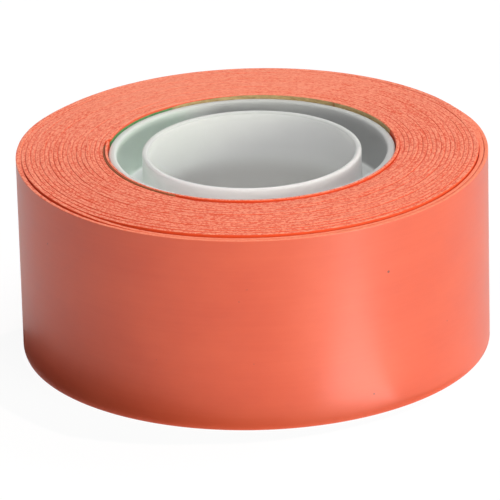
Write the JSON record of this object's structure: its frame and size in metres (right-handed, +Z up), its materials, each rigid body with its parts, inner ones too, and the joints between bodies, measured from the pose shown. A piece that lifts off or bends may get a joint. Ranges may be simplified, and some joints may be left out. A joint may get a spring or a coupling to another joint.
{
  "type": "tape roll",
  "caption": "Roll of thick soft tape wound on a moulded plastic core with a spindle bore; the outer end of the strip peels away from the roll.",
  "frame": {"origin": "on the roll's axis, in the plane that the roll lies on", "axes": "+Z up along the roll's axis; seen from +Z the strip winds outwards counter-clockwise, and its free end is at 47 degrees from +X towards +Y"},
  "size_m": [0.0598, 0.0592, 0.0261],
  "materials": {
    "core_plastic": "white, slightly translucent, smooth moulded",
    "tape": "coral; satin on the face, finely grained on the slit edges",
    "kraft_paper": "uncoated brown kraft, one stretch printed green"
  },
  "bodies": {
    "roll": {"core": "core_plastic", "starter_strip": "kraft_paper", "tape_winding": "tape"},
    "free_end_1": {"tape_end_1": "tape"},
    "free_end_2": {"tape_end_2": "tape"},
    "free_end_3": {"tape_end_3": "tape"},
    "free_end_4": {"tape_end_4": "tape"},
    "free_end_5": {"tape_end_5": "tape"},
    "free_end_6": {"tape_end_6": "tape"},
    "free_end_7": {"tape_end_7": "tape"},
    "free_end_8": {"tape_end_8": "tape"}
  },
  "joints": [
    {"name": "peel_1", "type": "hinge", "parent": "roll", "child": "free_end_1", "pos_m": [0.02711, -0.01263, 0.0127], "axis": [0, 0, -1], "range_deg": [0, 16]},
    {"name": "peel_2", "type": "hinge", "parent": "free_end_1", "child": "free_end_2", "pos_m": [0.02875, -0.00823, 0.0127], "axis": [0, 0, -1], "range_deg": [0, 16]},
    {"name": "peel_3", "type": "hinge", "parent": "free_end_2", "child": "free_end_3", "pos_m": [0.02969, -0.00363, 0.0127], "axis": [0, 0, -1], "range_deg": [0, 16]},
    {"name": "peel_4", "type": "hinge", "parent": "free_end_3", "child": "free_end_4", "pos_m": [0.02989, 0.00105, 0.0127], "axis": [0, 0, -1], "range_deg": [0, 16]},
    {"name": "peel_5", "type": "hinge", "parent": "free_end_4", "child": "free_end_5", "pos_m": [0.02936, 0.00572, 0.0127], "axis": [0, 0, -1], "range_deg": [0, 16]},
    {"name": "peel_6", "type": "hinge", "parent": "free_end_5", "child": "free_end_6", "pos_m": [0.0281, 0.01024, 0.0127], "axis": [0, 0, -1], "range_deg": [0, 16]},
    {"name": "peel_7", "type": "hinge", "parent": "free_end_6", "child": "free_end_7", "pos_m": [0.02615, 0.01451, 0.0127], "axis": [0, 0, -1], "range_deg": [0, 16]},
    {"name": "peel_8", "type": "hinge", "parent": "free_end_7", "child": "free_end_8", "pos_m": [0.02356, 0.01842, 0.0127], "axis": [0, 0, -1], "range_deg": [0, 16]}
  ],
  "couplings": [
    {"joint": "peel_2", "follows": "peel_1", "ratio": 1},
    {"joint": "peel_3", "follows": "peel_1", "ratio": 1},
    {"joint": "peel_4", "follows": "peel_1", "ratio": 1},
    {"joint": "peel_5", "follows": "peel_1", "ratio": 1},
    {"joint": "peel_6", "follows": "peel_1", "ratio": 1},
    {"joint": "peel_7", "follows": "peel_1", "ratio": 1},
    {"joint": "peel_8", "follows": "peel_1", "ratio": 1}
  ]
}
